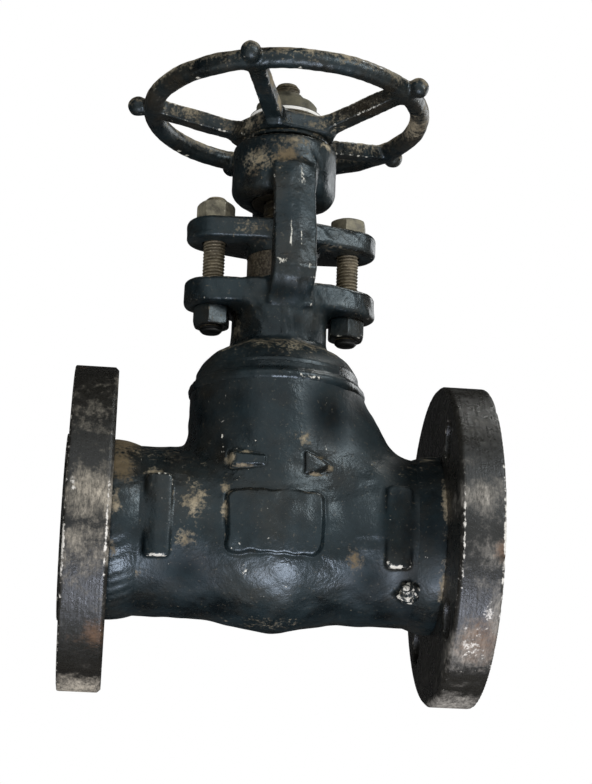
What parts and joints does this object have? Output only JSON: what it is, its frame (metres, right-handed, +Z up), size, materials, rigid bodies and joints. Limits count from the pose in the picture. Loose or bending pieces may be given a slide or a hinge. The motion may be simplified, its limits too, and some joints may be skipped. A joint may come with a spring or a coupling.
{
  "type": "globe valve",
  "caption": "Flanged forged-steel globe valve with welded bonnet, bolted gland, outside yoke and rising spoked handwheel that lifts the disc off its seat.",
  "frame": {"origin": "centre of the inlet flange's raised face, on the pipe axis", "axes": "+X along the flow from inlet to outlet, +Z up the stem toward the handwheel"},
  "size_m": [0.165, 0.1272, 0.2584],
  "materials": {
    "black_paint": "brushed semi-gloss black paint, chipped",
    "worn_paint": "scuffed black paint with bright edges",
    "rusty_steel": "brown, lightly rusted",
    "bare_steel": "bare machined",
    "graphite": "matt braided"
  },
  "bodies": {
    "valve": {"body": "black_paint", "inlet_flange": "worn_paint", "outlet_flange": "worn_paint", "inlet_flange_weld": "rusty_steel", "outlet_flange_weld": "black_paint", "seat_ring": "bare_steel", "bonnet": "black_paint", "bonnet_weld": "black_paint", "yoke_bush": "rusty_steel", "packing": "graphite", "gland_follower": "rusty_steel", "gland_flange": "black_paint", "gland_stud": "rusty_steel", "gland_bolt": "rusty_steel", "gland_stud_top_nut": "rusty_steel", "gland_stud_bottom_nut": "black_paint", "gland_bolt_nut": "black_paint"},
    "disc_carrier": {"disc": "bare_steel", "disc_nut": "bare_steel"},
    "spindle": {"stem": "rusty_steel", "handwheel": "black_paint", "handwheel_washer": "bare_steel", "handwheel_nut": "rusty_steel"}
  },
  "joints": [
    {"name": "disc_lift", "type": "slide", "parent": "valve", "child": "disc_carrier", "axis": [0, 0, 1], "range_m": [0, 0.012]},
    {"name": "wheel_turn", "type": "hinge", "parent": "disc_carrier", "child": "spindle", "pos_m": [0.0822, 0, 0.17], "axis": [0, 0, 1], "range_deg": [0, 1080]}
  ],
  "couplings": [
    {"joint": "disc_lift", "follows": "wheel_turn", "m_per_rad": 0.00063661}
  ]
}
